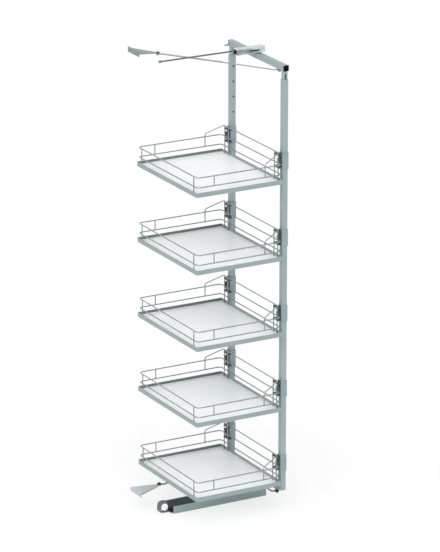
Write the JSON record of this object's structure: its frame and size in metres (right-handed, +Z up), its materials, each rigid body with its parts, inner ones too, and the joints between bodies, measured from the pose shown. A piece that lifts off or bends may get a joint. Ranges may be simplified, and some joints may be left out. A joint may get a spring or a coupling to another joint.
{
  "type": "pull-and-swing larder unit",
  "caption": "Tall pull-out larder fitting: a square-tube front frame with wire-railed trays that slides forward on a floor runner and swings aside as link rods turn it.",
  "frame": {"origin": "centre of the floor runner's screw pattern, on the cabinet floor under the runner", "axes": "+Z up; -Y forward, the way the unit is pulled out; +X the side that the trays swing towards"},
  "size_m": [0.54, 0.581, 2.0473],
  "materials": {
    "silver_paint": "satin silver-grey powder coat",
    "clamp_paint": "satin blue-grey powder coat",
    "bracket_zinc": "pale zinc plate",
    "link_steel": "bright zinc plate",
    "guide_chrome": "chrome plate",
    "wire_chrome": "chrome plate",
    "rod_steel": "drawn steel, oiled",
    "pivot_steel": "ground steel",
    "slide_black": "black e-coat",
    "black_plastic": "moulded black",
    "grey_plastic": "moulded dark grey",
    "white_nylon": "white nylon",
    "panel_white": "white melamine facing",
    "console_paint": "satin grey powder coat",
    "bumper_rubber": "brown-grey rubber"
  },
  "bodies": {
    "cabinet_fittings": {"runner_channel": "silver_paint", "runner_end_block": "grey_plastic", "roller_pin": "pivot_steel", "wall_bracket_bottom": "bracket_zinc", "wall_bracket_top": "bracket_zinc", "bracket_pins": "black_plastic", "guide_rail": "guide_chrome", "guide_bushes": "black_plastic"},
    "catch_roller": {"catch_roller": "white_nylon"},
    "ball_cages": {"ball_cages": "link_steel", "bearing_balls": "guide_chrome"},
    "carriage": {"inner_slide": "slide_black", "pivot_console": "console_paint", "console_bush": "black_plastic", "guide_rod": "rod_steel", "guide_rod_bumper": "bumper_rubber", "swivel_block": "black_plastic"},
    "frame": {"bottom_beam": "silver_paint", "upright_left": "silver_paint", "upright_right": "silver_paint", "extension_left": "silver_paint", "extension_right": "silver_paint", "top_beam": "silver_paint", "beam_caps": "black_plastic", "height_screws": "pivot_steel", "pivot_studs": "pivot_steel", "corner_brackets": "clamp_paint", "beam_peg": "pivot_steel", "link_bushes": "black_plastic", "tray_panel_1": "panel_white", "tray_rim_1": "silver_paint", "tray_railing_1": "wire_chrome", "tray_clamps_1": "clamp_paint", "tray_hooks_1": "black_plastic", "tray_panel_2": "panel_white", "tray_rim_2": "silver_paint", "tray_railing_2": "wire_chrome", "tray_clamps_2": "clamp_paint", "tray_hooks_2": "black_plastic", "tray_panel_3": "panel_white", "tray_rim_3": "silver_paint", "tray_railing_3": "wire_chrome", "tray_clamps_3": "clamp_paint", "tray_hooks_3": "black_plastic", "tray_panel_4": "panel_white", "tray_rim_4": "silver_paint", "tray_railing_4": "wire_chrome", "tray_clamps_4": "clamp_paint", "tray_hooks_4": "black_plastic", "tray_panel_5": "panel_white", "tray_rim_5": "silver_paint", "tray_railing_5": "wire_chrome", "tray_clamps_5": "clamp_paint", "tray_hooks_5": "black_plastic"},
    "top_link": {"top_link_tube": "link_steel", "top_link_rod": "link_steel"},
    "bottom_link": {"bottom_link_rod": "rod_steel"}
  },
  "joints": [
    {"name": "runner_slide", "type": "slide", "parent": "cabinet_fittings", "child": "carriage", "axis": [0, -1, 0], "range_m": [0, 0.25727]},
    {"name": "ball_cage_slide", "type": "slide", "parent": "cabinet_fittings", "child": "ball_cages", "axis": [0, -1, 0], "range_m": [0, 0.12873]},
    {"name": "frame_swing", "type": "hinge", "parent": "carriage", "child": "frame", "pos_m": [0, -0.2055, 0.097], "axis": [0, 0, 1], "range_deg": [-82.01, 0]},
    {"name": "top_link_swing", "type": "hinge", "parent": "cabinet_fittings", "child": "top_link", "pos_m": [0.11, 0.2205, 2.0375], "axis": [0, 0, 1], "range_deg": [0, 19.52]},
    {"name": "bottom_link_swing", "type": "hinge", "parent": "cabinet_fittings", "child": "bottom_link", "pos_m": [0.11, 0.2205, 0.086], "axis": [0, 0, 1], "range_deg": [0, 19.52]},
    {"name": "catch_roller_spin", "type": "hinge", "parent": "cabinet_fittings", "child": "catch_roller", "pos_m": [-0.0165, 0.261, 0.028], "axis": [1, 0, 0], "continuous": true}
  ],
  "couplings": [
    {"joint": "ball_cage_slide", "follows": "runner_slide", "ratio": 0.5},
    {"joint": "frame_swing", "follows": "runner_slide", "rad_per_m": -5.5629},
    {"joint": "top_link_swing", "follows": "runner_slide", "rad_per_m": 1.3239},
    {"joint": "bottom_link_swing", "follows": "runner_slide", "rad_per_m": 1.3239}
  ]
}
